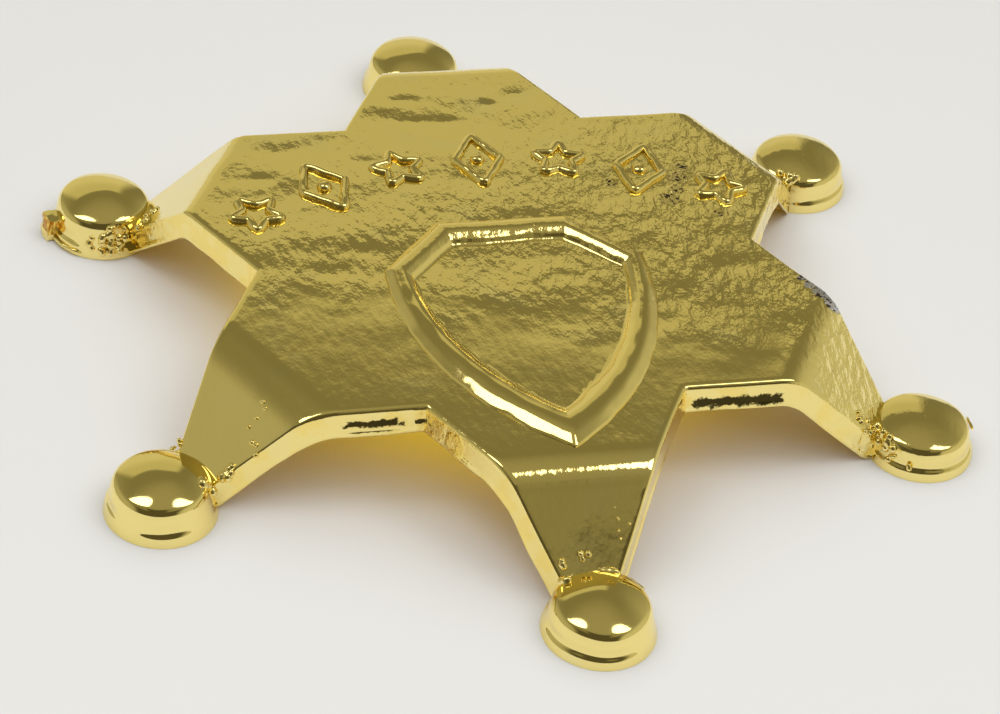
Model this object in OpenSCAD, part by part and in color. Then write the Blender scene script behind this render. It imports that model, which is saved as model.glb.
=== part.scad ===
// Six-point star badge, cast in one piece: a flat plate whose points fold down to six ball tips, with a
// raised shield rim and an arc of raised ornaments on its face, and a plain bar pin on its back.
// The origin is the middle of the star on the plane that its ball tips rest on. +Y points to the top
// point and +Z out of the face. Lengths are in millimetres, and angles in degrees.

/* [Star plate] */
// Distance from the middle of the star to the middle of each ball tip
tip_r = 31; // [28:0.5:36]
// How far the straight edges of a point would run on past the middle of its ball tip
point_over = 0.5; // [0:0.1:1.5]
// Height of the flat face above the plane that the ball tips rest on
face_h = 7.8; // [6.8:0.1:9.5]
// Thickness of the casting, measured upright
wall_t = 2.2; // [1.6:0.1:2.8]

/* [Folded points] */
// Length of the sloping stretch of a point, seen from above
slope_run = 5.15; // [4.2:0.05:6.2]
// Height of a point's face where it meets the rim of its ball tip
seat_h = 2.5; // [2:0.1:3]
// Radius of the rounded bend along the fold
bend_r = 2.4; // [1:0.1:4]

/* [Ball tips] */
// Radius of a ball tip where it rests
ball_base_r = 3.95; // [3.5:0.05:4.6]
// Radius of a ball tip at the widest part of its dome
ball_rim_r = 3.25; // [2.8:0.05:3.4]
// Height of the widest part of the dome
ball_rim_h = 1.95; // [1.6:0.05:2.2]
// Radius of the rounding between the skirt and the crown
ball_round_r = 1; // [0.6:0.05:1.2]
// Height of the crown
ball_h = 3.35; // [3.2:0.05:4]

/* [Shield rim] */
// Width of the shield over its two curved sides
shield_w = 19.3; // [16:0.1:21]
// Height of the shield from its top edge to its point
shield_h = 24.7; // [21:0.1:25]
// Distance of the shield's top edge from the middle of the star
shield_top = 3.8; // [2.5:0.1:5]
// Length of the top edge between the two clipped corners
shield_top_w = 9.7; // [7:0.1:13]
// How far the clipped corners come down from the top edge
shield_clip_h = 5; // [3.5:0.1:6]
// How far down from the top edge the sides start to curve in
shield_curve_h = 6.6; // [5.5:0.1:9]
// Height of the rim's crest above the face
rim_h = 0.65; // [0.4:0.05:0.9]
// Width of the rim's outer slope
rim_outer_w = 1.3; // [0.8:0.05:1.6]
// Width of the rim's crest
rim_crest_w = 0.45; // [0.2:0.05:0.7]
// Width of the rim's steep inner slope
rim_inner_w = 0.4; // [0.2:0.05:0.8]

/* [Ornaments] */
// Number of ornaments in the arc, stars and lozenges in turn
ornament_count = 7; // [3:2:7]
// Radius of the arc through the middles of the ornaments
ornament_arc_r = 32.7; // [28:0.1:40]
// Distance of the arc's top from the middle of the star
ornament_top = 11; // [10:0.1:12]
// Distance between the middles of two ornaments along the arc
ornament_pitch = 6.05; // [5.8:0.05:6.4]
// Radius of a star's points
star_r = 2.9; // [2.4:0.05:3]
// Radius of a star's notches
star_notch_r = 1.4; // [1.2:0.05:1.6]
// Width of a lozenge
lozenge_w = 4.3; // [3.6:0.1:4.6]
// Height of a lozenge
lozenge_h = 7; // [6:0.1:7.6]
// Diameter of the dot inside a lozenge
dot_d = 1.1; // [0.8:0.05:1.2]
// Width of the raised line that draws an ornament
line_w = 0.6; // [0.4:0.05:0.7]
// Height of the raised line above the face
line_h = 0.38; // [0.2:0.02:0.6]

/* [Gate stub] */
// Width of the broken casting gate on the left ball tip
gate_w = 2.6; // [1.6:0.1:3.4]
// Height of the broken gate
gate_h = 1.9; // [1.2:0.1:2.2]
// How far the broken gate stands out past the ball tip
gate_out = 0.65; // [0.3:0.05:0.8]
// Direction in which the gate leaves the ball tip, from +X
gate_angle = 188; // [170:1:195]

/* [Bar pin] */
// Length of the strip that carries the pin
strip_l = 29; // [24:0.5:32]
// Width of the strip
strip_w = 4.4; // [3.4:0.1:5.4]
// Thickness of the strip
strip_t = 0.7; // [0.5:0.05:1]
// Distance of the strip's middle from the middle of the star
strip_y = 4; // [2:0.1:6]
// Gap between the strip and the back of the plate
seat_gap = 0.1; // [0.05:0.01:0.3]
// Diameter of the wire
wire_d = 1.1; // [0.8:0.05:1.4]
// Distance between the strip and the middle of the wire
wire_drop = 2.1; // [1.7:0.1:2.6]
// Thickness of the two lugs that hold the wire, along the wire
lug_t = 2; // [1.4:0.1:2.6]
// Width of the lugs
lug_w = 2.6; // [2.2:0.1:3.4]
// Distance of a lug from its end of the strip
lug_in = 1; // [0.5:0.1:2]
// How far the sharp end of the wire stands out of the catch
wire_out = 1.8; // [1:0.1:2.6]

/* [Hidden] */
$fn = 96;
gold = [0.93, 0.78, 0.36];
pin_grey = [0.74, 0.74, 0.72];

point_count = 6;
point_r = tip_r + point_over;
notch_r = point_r / sqrt(3);
top_edge_angle = 90;
point_angles = [for (i = [0 : point_count - 1]) 90 + i * 360 / point_count];
left_tip_angle = 150;

seat_r = tip_r - ball_rim_r;
fold_r = seat_r - slope_run;
slope = atan((face_h - seat_h) / slope_run);
bend_cut = bend_r * tan(slope / 2);
back_h = face_h - wall_t;

relief_root = wall_t / 4;
// Where the rim's outer slope eases off, as shares of its width and height
rim_knee_w = 0.7;
rim_knee_h = 0.8;
shield_curve_y = shield_top - shield_curve_h;
shield_point_y = shield_top - shield_h;
shield_curve_drop = shield_curve_y - shield_point_y;
shield_side_r = (pow(shield_w / 2, 2) + pow(shield_curve_drop, 2)) / shield_w;
rim_w = rim_outer_w + rim_crest_w + rim_inner_w;
clip_angle = atan((shield_w - shield_top_w) / 2 / shield_clip_h);
clip_dist = shield_top_w / 2 * cos(clip_angle) + shield_top * sin(clip_angle);

ball_round_x = ball_rim_r - ball_round_r;
ball_rise = ball_h - ball_rim_h;
crown_r = (pow(ball_round_x, 2) + pow(ball_rise, 2) - pow(ball_round_r, 2)) / (2 * (ball_rise - ball_round_r));
crown_edge_x = ball_round_x * crown_r / (crown_r - ball_round_r);

ornament_step = ornament_pitch / ornament_arc_r * 180 / PI;

strip_h = back_h - seat_gap;
wire_h = strip_h - strip_t - wire_drop;
lug_end_x = strip_l / 2 - lug_in;

// Points of a regular star with one point towards +Y
function star_outline(count, tip, notch) = [
    for (i = [0 : 2 * count - 1])
        let (r = i % 2 == 0 ? tip : notch, a = 90 + i * 180 / count)
        [r * cos(a), r * sin(a)]
];

// Distance of a star's edges from its middle
function star_edge_dist(count, tip, notch) =
    tip * notch * sin(180 / count)
    / sqrt(pow(tip, 2) + pow(notch, 2) - 2 * tip * notch * cos(180 / count));

// Points of an upright lozenge
function lozenge_outline(w, h) = [[w / 2, 0], [0, h / 2], [-w / 2, 0], [0, -h / 2]];

// Height of the flat face less what the slope has dropped at a distance r from the middle
function slope_h(r) = face_h - (r - fold_r) * tan(slope);

// Side view of the plate's upper surface across two opposite points, rounded along both folds
module fold_profile() {
    floor_y = -2 * wall_t;
    polygon([
        [-point_r, floor_y], [point_r, floor_y], [point_r, slope_h(point_r)],
        [fold_r + bend_cut * cos(slope), face_h - bend_cut * sin(slope)], [fold_r - bend_cut, face_h],
        [-(fold_r - bend_cut), face_h], [-(fold_r + bend_cut * cos(slope)), face_h - bend_cut * sin(slope)],
        [-point_r, slope_h(point_r)],
    ]);
    for (side = [-1, 1])
        translate([side * (fold_r - bend_cut), face_h - bend_r]) circle(bend_r);
}

// Everything below the folded surface, for all six points at once
module folded_block() {
    intersection_for (i = [0 : point_count / 2 - 1])
        rotate([0, 0, point_angles[i]])
        rotate([90, 0, 0])
        linear_extrude(height = 2 * point_r, center = true) fold_profile();
}

// The six-point plate with its points folded down
module plate() {
    difference() {
        intersection() {
            linear_extrude(height = face_h) polygon(star_outline(point_count, point_r, notch_r));
            folded_block();
        }
        translate([0, 0, -wall_t]) folded_block();
    }
}

// Upright section of a ball tip: drafted skirt, rounded rim and shallow crown
module ball_section() {
    polygon([[0, 0], [ball_base_r, 0], [ball_rim_r, ball_rim_h], [0, ball_rim_h]]);
    translate([ball_round_x, ball_rim_h]) circle(ball_round_r);
    intersection() {
        translate([0, ball_h - crown_r]) circle(crown_r);
        polygon([
            [0, ball_rim_h], [ball_round_x, ball_rim_h],
            [crown_edge_x, ball_h - crown_r + crown_edge_x / ball_round_x * (ball_rim_h - ball_h + crown_r)],
            [crown_edge_x, ball_h], [0, ball_h],
        ]);
    }
}

module ball_tips() {
    for (a = point_angles)
        rotate([0, 0, a]) translate([tip_r, 0, 0]) rotate_extrude() ball_section();
}

// Rough stub left where the casting was broken from its gate
module gate_stub() {
    rotate([0, 0, left_tip_angle]) translate([tip_r, 0, 0]) rotate([0, 0, gate_angle - left_tip_angle])
        translate([0, -gate_w / 2, 0]) cube([ball_base_r + gate_out, gate_w, gate_h]);
}

// Section across the shield's edge from inner_x out to edge_x: the rim with its outer slope and crest, or
// the hollow within the rim's steep inner slope. y is the height on the face.
module edge_section(hollow, inner_x, edge_x) {
    if (hollow)
        polygon([
            [inner_x, 0], [edge_x - rim_w, 0], [edge_x - rim_w + rim_inner_w, rim_h],
            [edge_x - rim_w + rim_inner_w, 2 * rim_h], [inner_x, 2 * rim_h],
        ]);
    else
        polygon([
            [inner_x, -relief_root], [edge_x, -relief_root], [edge_x, 0],
            [edge_x - rim_outer_w * rim_knee_w, rim_h * rim_knee_h],
            [edge_x - rim_outer_w, rim_h], [inner_x, rim_h],
        ]);
}

// What lies inside a straight edge at a distance from the middle, facing a given direction
module straight_edge(angle, dist, hollow) {
    rotate([0, 0, angle]) rotate([90, 0, 0])
        linear_extrude(height = 2 * shield_h, center = true)
        edge_section(hollow, dist - 2 * shield_h, dist);
}

// What lies inside both curved sides
module curved_sides(hollow) {
    intersection_for (left = [0, 1])
        mirror([left, 0, 0])
        translate([shield_w / 2 - shield_side_r, shield_curve_y, 0])
        rotate_extrude() edge_section(hollow, 0, shield_side_r);
}

// The shield's shape with all five edges cut to the rim's section or to the hollow within it
module shield_solid(hollow) {
    intersection() {
        curved_sides(hollow);
        straight_edge(top_edge_angle, shield_top, hollow);
        straight_edge(clip_angle, clip_dist, hollow);
        straight_edge(180 - clip_angle, clip_dist, hollow);
    }
}

module shield_rim() {
    translate([0, 0, face_h]) difference() {
        shield_solid(false);
        shield_solid(true);
    }
}

// Raised line along the inside of an outline whose edges all lie at the same distance from its middle
module raised_outline(outline, edge_dist) {
    translate([0, 0, -relief_root]) linear_extrude(height = line_h + relief_root) difference() {
        polygon(outline);
        polygon(outline * (1 - line_w / edge_dist));
    }
}

module star_ornament() {
    raised_outline(star_outline(5, star_r, star_notch_r), star_edge_dist(5, star_r, star_notch_r));
}

module lozenge_ornament() {
    raised_outline(
        lozenge_outline(lozenge_w, lozenge_h),
        lozenge_w * lozenge_h / 2 / norm([lozenge_w, lozenge_h])
    );
    translate([0, 0, -relief_root]) cylinder(d = dot_d, h = line_h + relief_root);
}

// Stars and lozenges in turn along the arc, upright to it
module ornaments() {
    for (i = [0 : ornament_count - 1]) {
        turn = (i - (ornament_count - 1) / 2) * ornament_step;
        translate([0, ornament_top - ornament_arc_r, face_h])
            rotate([0, 0, -turn])
            translate([0, ornament_arc_r, 0])
            if (i % 2 == 0) star_ornament();
            else lozenge_ornament();
    }
}

module star_casting() {
    color(gold) union() {
        plate();
        ball_tips();
        gate_stub();
        shield_rim();
        ornaments();
    }
}

// Strip with round ends that seats the pin on the back of the plate
module pin_strip() {
    translate([0, strip_y, strip_h - strip_t]) {
        for (side = [-1, 1])
            translate([side * (strip_l - strip_w) / 2, 0, 0]) cylinder(d = strip_w, h = strip_t);
        translate([-(strip_l - strip_w) / 2, -strip_w / 2, 0]) cube([strip_l - strip_w, strip_w, strip_t]);
    }
}

// Lug that hangs from the strip and holds the wire, its inner face at the given distance from the middle
module pin_lug(inner_x) {
    translate([inner_x, strip_y, 0]) {
        translate([0, -lug_w / 2, wire_h]) cube([lug_t, lug_w, wire_drop + strip_t / 2]);
        translate([0, 0, wire_h]) rotate([0, 90, 0]) cylinder(d = lug_w, h = lug_t);
    }
}

// Straight wire from lug to lug, with its sharp end out of the catch
module pin_wire() {
    translate([-lug_end_x, strip_y, wire_h]) rotate([0, 90, 0]) {
        cylinder(d = wire_d, h = 2 * lug_end_x);
        translate([0, 0, 2 * lug_end_x]) cylinder(d1 = wire_d, d2 = wire_d / 5, h = wire_out);
    }
}

module bar_pin() {
    color(pin_grey) union() {
        pin_strip();
        pin_lug(-lug_end_x);
        pin_lug(lug_end_x - lug_t);
        pin_wire();
    }
}

star_casting();
bar_pin();
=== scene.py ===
"""Six-point star badge: one gold-plated casting with a hidden bar pin, lying on its ball tips."""

import math

import bmesh
import bpy
import numpy as np
from bpy.props import FloatProperty, FloatVectorProperty, IntProperty, PointerProperty
from mathutils import Matrix, Vector


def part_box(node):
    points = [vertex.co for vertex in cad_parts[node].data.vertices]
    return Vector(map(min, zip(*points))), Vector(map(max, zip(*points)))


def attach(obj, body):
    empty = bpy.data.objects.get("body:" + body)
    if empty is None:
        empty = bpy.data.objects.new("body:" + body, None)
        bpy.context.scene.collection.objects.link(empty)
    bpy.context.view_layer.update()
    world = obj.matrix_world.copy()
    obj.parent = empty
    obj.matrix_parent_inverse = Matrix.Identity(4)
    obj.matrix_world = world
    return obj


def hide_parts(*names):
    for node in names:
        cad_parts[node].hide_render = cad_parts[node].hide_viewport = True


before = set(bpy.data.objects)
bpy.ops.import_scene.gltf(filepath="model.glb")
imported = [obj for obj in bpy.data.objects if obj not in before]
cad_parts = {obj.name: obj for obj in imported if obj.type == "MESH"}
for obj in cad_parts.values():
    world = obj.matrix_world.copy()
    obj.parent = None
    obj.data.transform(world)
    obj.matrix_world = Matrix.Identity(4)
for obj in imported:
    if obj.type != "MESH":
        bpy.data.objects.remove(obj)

bl_info = {
    "name": "Star Badge",
    "version": (1, 0, 0),
    "blender": (4, 5, 0),
    "location": "View3D > Sidebar > Badge",
    "description": "Builds a cast star badge, its bar pin and a plain studio around the packed frame",
    "category": "Add Mesh",
}

# Frame and units

MM = 0.001
CASTING, PIN, BODY = "star_casting", "bar_pin", "root"
STAR, BAR = "plated_star", "plated_pin"
# Degrees between two faces from which their edge stays sharp
STAR_CREASE, PIN_CREASE = 42, 35
PIN_LOW, PIN_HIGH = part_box(PIN)
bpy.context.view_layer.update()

# Directions of the six points from +X, in degrees, named as the photograph shows them
BACK, LEFT, FRONT_LEFT, FRONT, FRONT_RIGHT, RIGHT = 90, 150, 210, 270, 330, 30
POINTS = (BACK, LEFT, FRONT_LEFT, FRONT, FRONT_RIGHT, RIGHT)


# Settings

def length(name, millimetres, description):
    """A length property whose default is given in millimetres."""
    return FloatProperty(
        name=name, description=description, default=millimetres * MM, unit="LENGTH", precision=5
    )


def angle(name, degrees, description):
    return FloatProperty(
        name=name, description=description, default=math.radians(degrees), subtype="ANGLE"
    )


def colour(name, rgb, description):
    return FloatVectorProperty(
        name=name, description=description, default=rgb, subtype="COLOR", min=0.0, max=1.0
    )


def amount(name, value, description):
    return FloatProperty(name=name, description=description, default=value)


class PlateSettings(bpy.types.PropertyGroup):
    """Sizes of the star plate and its folded points."""

    face_height: length("Face height", 7.8, "Height of the flat face above the floor")
    wall: length("Wall", 2.2, "Thickness of the casting, measured upright")
    point_radius: length("Point radius", 31.5, "Distance from the middle to where a point would end")
    fold_radius: length("Fold radius", 22.6, "Distance from the middle to the folds")
    slope: angle("Slope", 45.82, "How steeply the points fold down")
    top_round: length("Upper edge rounding", 0.36, "Radius of the rounded edge round the face")
    base_round: length("Lower edge rounding", 0.18, "Radius of the rounded edge round the back")
    draft: angle("Draft", 5, "How far the side walls lean outwards on their way down")
    ledge: length("Parting ledge", 0.1, "How far the walls step out below the parting line")
    face_wave: length("Face waves", 0.022, "Height of the slow waves in the face")
    rows: IntProperty(name="Rows", description="Rows of triangles along a star edge", default=66)


class TipSettings(bpy.types.PropertyGroup):
    """Sizes of the ball tips and of what the casting left at them."""

    ring_radius: length("Ring radius", 31, "Distance from the middle of the star to each ball tip")
    base_radius: length("Base radius", 3.95, "Radius where a ball tip rests")
    dome_radius: length("Dome radius", 3.38, "Radius at the widest part of the dome")
    dome_height: length("Dome height", 2.08, "Height of the widest part of the dome")
    rounding: length("Dome rounding", 0.85, "Radius between the skirt and the crown")
    height: length("Height", 3.54, "Height of the crown")
    gate_width: length("Gate width", 1.35, "Width of the broken casting gate")
    gate_height: length("Gate height", 1.75, "Height of the broken casting gate")
    gate_out: length("Gate length", 0.65, "How far the gate stands out of its ball tip")
    gate_slant: length("Gate slant", 0.3, "How much less far the gate stands out at its top")
    gate_turn: angle("Gate direction", 188, "Direction of the gate from +X")


class ReliefSettings(bpy.types.PropertyGroup):
    """Sizes of the shield rim and of the ornaments above it."""

    shield_width: length("Shield width", 19.3, "Width over the two curved sides")
    shield_height: length("Shield height", 24.7, "From the top edge to the point")
    shield_top: length("Shield top", 3.8, "Distance of the top edge from the middle of the star")
    top_width: length("Top edge", 9.7, "Length of the top edge between its clipped corners")
    clip_height: length("Corner drop", 5.0, "How far the clipped corners come down")
    curve_drop: length("Side drop", 6.6, "How far down the sides start to curve in")
    lean: amount("Lean", 0.965, "Share of the shield's width that its left side has")
    inner_top: length("Inner top", 1.13, "From the middle of the star to the rim's inner top edge")
    inner_width: length("Inner width", 15.05, "Width between the rim's two inner sides")
    inner_height: length("Inner height", 17.95, "From the rim's inner top edge to its inner point")
    inner_top_width: length("Inner top edge", 8.0, "Length of the rim's inner top edge")
    inner_clip: length("Inner corner drop", 3.6, "How far the rim's inner clipped corners come down")
    inner_curve: length("Inner side drop", 2.2, "How far down the rim's inner sides start to curve in")
    inner_shift: length("Inner shift", 0.24, "How far the rim's inner edge lies to the right")
    rim_height: length("Rim height", 0.65, "Height of the rim's crest")
    arc_radius: length("Arc radius", 32.7, "Radius of the arc through the ornaments")
    arc_top: length("Arc top", 11.0, "Distance of the arc's top from the middle of the star")
    pitch: length("Pitch", 6.05, "Distance between ornaments along the arc")
    count: IntProperty(name="Ornaments", description="Stars and lozenges in turn", default=7)
    star_radius: length("Star radius", 2.9, "Radius of a star ornament's points")
    star_notch: length("Star notches", 1.4, "Radius of a star ornament's notches")
    lozenge_width: length("Lozenge width", 4.3, "Width of a lozenge")
    lozenge_height: length("Lozenge height", 7.0, "Height of a lozenge")
    dot: length("Dot", 1.1, "Diameter of the dot inside a lozenge")
    line_width: length("Line width", 0.7, "Width of the raised line that draws an ornament")
    line_height: length("Line height", 0.4, "Height of the raised line")


class PinSettings(bpy.types.PropertyGroup):
    """Sizes of the bar pin that its box does not give."""

    strip: length("Strip thickness", 0.7, "Thickness of the strip on the plate's back")
    wire: length("Wire", 1.1, "Diameter of the wire")
    wire_drop: length("Wire drop", 2.1, "From the strip to the middle of the wire")
    wire_out: length("Sharp end", 1.8, "How far the wire stands out of the catch")
    lug: length("Lug thickness", 2.0, "Thickness of the lugs along the wire")
    lug_width: length("Lug width", 2.6, "Width of the lugs")
    lug_in: length("Lug inset", 1.0, "Distance of a lug from its end of the strip")
    edge: length("Edge rounding", 0.12, "Rounding of the pin's edges")


class FinishSettings(bpy.types.PropertyGroup):
    """Colours and gloss of the badge."""

    gold: colour("Gold plate", (1.0, 0.83, 0.315), "Reflected colour of the gold plate")
    pale: colour("Pale gold", (0.95, 0.82, 0.38), "Plate where it is thin")
    # Deep gold is the rough plate's own tone on nodules, torn places and droplets, and painted bounce
    # light on steep sides: the saturated colour of light bounced between gold faces
    deep: colour("Deep gold", (1.0, 0.74, 0.16), "Plate in rough hollows and on droplets")
    copper: colour("Broken gate", (0.55, 0.20, 0.01), "Broken face of the casting gate")
    bare: colour("Bare casting", (0.74, 0.72, 0.78), "Bare metal at the chip")
    stain: colour("Stain", (0.07, 0.045, 0.05), "Corroded spots")
    # Painted shade: near-black colour painted in ragged bands on the front walls where a crease lies in
    # shade
    crease: colour("Crease", (0.06, 0.045, 0.012), "Dark creases in the walls")
    # Painted bounce light: a deeper, more saturated gold on down-facing faces that stands in for light
    # bounced many times between gold and floor
    underside_bounce_tint: colour("Underside", (1.0, 0.68, 0.07), "Plate on the back")
    nickel: colour("Nickel", (0.72, 0.71, 0.68), "Plate of the bar pin")
    dull: colour("Dull nickel", (0.58, 0.56, 0.52), "Smudges on the bar pin")
    gloss: amount("Gloss", 0.05, "Roughness of the smooth plate")
    tip_gloss: amount("Tip gloss", 0.075, "Roughness of the ball tips")
    raised_gloss: amount("Raised gloss", 0.09, "Roughness of the rim and ornaments")
    droplet_gloss: amount("Droplet gloss", 0.23, "Roughness of the droplets at the ball tips")


class StageSettings(bpy.types.PropertyGroup):
    """Camera, lights and floor."""

    azimuth: angle("Azimuth", -16.708, "Direction of the camera round the badge")
    elevation: angle("Elevation", 39.831, "Height of the camera above the floor")
    roll: angle("Roll", 6.965, "Turn of the camera about its line of sight")
    distance: length("Distance", 248.3, "Distance from the camera to its target")
    target: FloatVectorProperty(
        name="Target", description="Where the camera looks", unit="LENGTH",
        default=(-0.397 * MM, -2.22 * MM, 0.0),
    )
    lens: amount("Lens", 123.85, "Focal length in millimetres on a 36 mm wide sensor")
    floor: colour("Floor", (0.71, 0.715, 0.74), "Table top")
    floor_size: length("Floor size", 4000, "Width of the table top")
    light_distance: length("Light distance", 1200, "Distance of the soft lights")
    light_radiance: amount("Light radiance", 2.5, "Brightness of the soft lights")
    fill_radiance: amount("Fill radiance", 1.04, "Brightness of the fill, which metal doesn't show")
    bounce_radiance: amount("Bounce radiance", 0.7, "Brightness of the glow under the gold back")
    bounce: colour("Bounce", (1.0, 0.7, 0.04), "Colour of that light")
    bounce_height: length("Bounce height", 4.9, "Height of that light")
    bounce_size: length("Bounce size", 34, "Width of that light")
    dim: colour("Dim room", (0.20, 0.185, 0.11), "What surrounds the badge")
    sides: colour("Sides", (0.56, 0.54, 0.40), "The room's walls to the left and right")
    ceiling: colour("Ceiling", (0.31, 0.29, 0.19), "Above the badge")
    panel_low: colour("Low panel", (0.61, 0.565, 0.37), "Foot of the light panel ahead of the camera")
    panel_high: colour("High panel", (0.50, 0.468, 0.29), "Top of the light panel")
    panel_left: angle("Panel left", -39, "Direction of its left edge from straight ahead")
    panel_right: angle("Panel right", 6, "Direction of its right edge from straight ahead")
    panel_top: angle("Panel top", 39.4, "Elevation where the panel ends")
    dark: colour("Dark", (0.085, 0.075, 0.045), "What stands behind the camera")
    dark_half: angle("Dark column half width", 18, "Half the width of the column behind the camera")
    dark_top: angle("Dark column top", 62, "Elevation where the column ends")
    dark_low_top: angle("Dark foot top", 41, "Elevation where what is dark beside the column ends")


SETTINGS = {
    "badge_plate": PlateSettings,
    "badge_tips": TipSettings,
    "badge_relief": ReliefSettings,
    "badge_pin": PinSettings,
    "badge_finish": FinishSettings,
    "badge_stage": StageSettings,
}


# Node trees

class Value:
    """A socket of a node tree; arithmetic on it adds Math nodes."""

    def __init__(self, nodes, socket):
        self.nodes = nodes
        self.socket = socket

    def __add__(self, other):
        return self.nodes.math("ADD", self, other)

    def __sub__(self, other):
        return self.nodes.math("SUBTRACT", self, other)

    def __rsub__(self, other):
        return self.nodes.math("SUBTRACT", other, self)

    def __mul__(self, other):
        return self.nodes.math("MULTIPLY", self, other)

    def __truediv__(self, other):
        return self.nodes.math("DIVIDE", self, other)

    def __mod__(self, other):
        return self.nodes.math("MODULO", self, other)

    __radd__ = __add__
    __rmul__ = __mul__


class Nodes:
    """Adds nodes to a shader or geometry tree."""

    def __init__(self, tree):
        self.tree = tree

    def add(self, kind, settings=None, inputs=None, output=0):
        """One node: its settings are set first, then the values or links of its sockets."""
        node = self.tree.nodes.new(kind)
        for name, setting in (settings or {}).items():
            setattr(node, name, setting)
        for key, given in (inputs or {}).items():
            if isinstance(given, Value):
                self.tree.links.new(given.socket, node.inputs[key])
            else:
                node.inputs[key].default_value = given
        return Value(self, node.outputs[output]) if node.outputs else node

    def math(self, operation, *operands):
        return self.add("ShaderNodeMath", {"operation": operation}, dict(enumerate(operands)))

    def split(self, vector):
        """The three parts of a vector."""
        return [self.add("ShaderNodeSeparateXYZ", {}, {0: vector}, axis) for axis in range(3)]

    def vector(self, operation, *operands):
        inputs = dict(enumerate(operands))
        output = "Value" if operation in ("DISTANCE", "LENGTH", "DOT_PRODUCT") else "Vector"
        return self.add("ShaderNodeVectorMath", {"operation": operation}, inputs, output)

    def blend(self, factor, first, second):
        """A colour between two colours, each a value or three numbers."""
        first, second = (rgb if isinstance(rgb, Value) else (*rgb, 1.0) for rgb in (first, second))
        return self.add("ShaderNodeMix", {"data_type": "RGBA"}, {0: factor, 6: first, 7: second}, 2)

    def join(self, shapes):
        """Geometries taken together."""
        joined = self.add("GeometryNodeJoinGeometry")
        for shape in shapes:
            self.tree.links.new(shape.socket, joined.socket.node.inputs[0])
        return joined

    def bump(self, height, strength=1.0):
        """A normal from heights in millimetres."""
        return self.add("ShaderNodeBump", {}, {"Strength": strength, "Distance": MM, "Height": height})

    def step(self, value, low, high):
        """0 below low, 1 above high, and smooth between them."""
        inputs = {0: value, 1: low, 2: high}
        if low > high:
            inputs = {0: value, 1: high, 2: low, 3: 1.0, 4: 0.0}
        return self.add("ShaderNodeMapRange", {"interpolation_type": "SMOOTHSTEP"}, inputs)

    def noise(self, place, size, detail=2.0, roughness=0.5):
        """Noise from 0 to 1 whose lumps are about this size in the place's units."""
        inputs = {"Vector": place, "Scale": 1 / size, "Detail": detail, "Roughness": roughness}
        return self.add("ShaderNodeTexNoise", {}, inputs, "Fac")


def geometry_tree(name, sockets):
    """A geometry node tree with these named inputs: its nodes, and the inputs as values."""
    tree = bpy.data.node_groups.new(name, "GeometryNodeTree")
    for label, kind in sockets.items():
        tree.interface.new_socket(label, in_out="INPUT", socket_type="NodeSocket" + kind)
    tree.interface.new_socket("Geometry", in_out="OUTPUT", socket_type="NodeSocketGeometry")
    given = tree.nodes.new("NodeGroupInput")
    nodes = Nodes(tree)
    return nodes, {label: Value(nodes, given.outputs[label]) for label in sockets}


def end_tree(nodes, geometry, material):
    """Ends a tree in Realize Instances and Set Material."""
    real = nodes.add("GeometryNodeRealizeInstances", {}, {0: geometry})
    painted = nodes.add("GeometryNodeSetMaterial", {}, {"Geometry": real, "Material": material})
    result = nodes.tree.nodes.new("NodeGroupOutput")
    nodes.tree.links.new(painted.socket, result.inputs[0])


def grow(obj, tree, values):
    """Runs a geometry tree on an object and keeps the plain mesh that it makes."""
    modifier = obj.modifiers.new(tree.name, "NODES")
    modifier.node_group = tree
    for item in tree.interface.items_tree:
        if item.in_out == "INPUT" and item.name in values:
            modifier[item.identifier] = values[item.name]
    return plain_mesh(obj)


# Meshes

def linked(name, data):
    """A new object with this data, linked to the scene."""
    obj = bpy.data.objects.new(name, data)
    bpy.context.scene.collection.objects.link(obj)
    return obj


def new_object(name, verts=(), faces=(), material=None):
    """An object whose mesh has these points and faces, with the faces turned outwards."""
    mesh = bpy.data.meshes.new(name)
    mesh.from_pydata([tuple(v) for v in verts], [], [tuple(f) for f in faces])
    if material:
        mesh.materials.append(material)
    work = bmesh.new()
    work.from_mesh(mesh)
    bmesh.ops.recalc_face_normals(work, faces=work.faces)
    work.to_mesh(mesh)
    work.free()
    return linked(name, mesh)


def plain_mesh(obj):
    """Replaces an object's mesh by what its modifiers make of it, and removes them."""
    bpy.context.view_layer.update()
    graph = bpy.context.evaluated_depsgraph_get()
    mesh = bpy.data.meshes.new_from_object(obj.evaluated_get(graph))
    obj.modifiers.clear()
    obj.data = mesh
    return obj


def fuse(base, *others):
    """Unites closed meshes with the base object's mesh and removes them."""
    for other in others:
        union = base.modifiers.new("union", "BOOLEAN")
        union.operation = "UNION"
        union.solver = "MANIFOLD"
        union.material_mode = "TRANSFER"
        union.object = other
        plain_mesh(base)
        bpy.data.objects.remove(other, do_unlink=True)
    work = bmesh.new()
    work.from_mesh(base.data)
    open_edges = sum(not edge.is_manifold for edge in work.edges)
    work.free()
    if open_edges or not len(base.data.polygons):
        raise RuntimeError(f"{base.name} is not closed after its union: {open_edges} open edges")
    return base


def points_of(obj):
    points = np.empty(len(obj.data.vertices) * 3)
    obj.data.vertices.foreach_get("co", points)
    return points.reshape(-1, 3)


def move_points(obj, points):
    obj.data.vertices.foreach_set("co", points.ravel())
    obj.data.update()


def finish_piece(obj, node, crease):
    """Scales a mesh in millimetres to the frame, shades it and hands it to the frame."""
    obj.data.transform(Matrix.Scale(MM, 4))
    obj.data.shade_smooth()
    obj.data.set_sharp_from_angle(angle=math.radians(crease))
    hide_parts(node)
    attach(obj, BODY)


def mm(value):
    """A stored length in millimetres, the unit in which the meshes are worked out."""
    return value / MM


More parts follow.
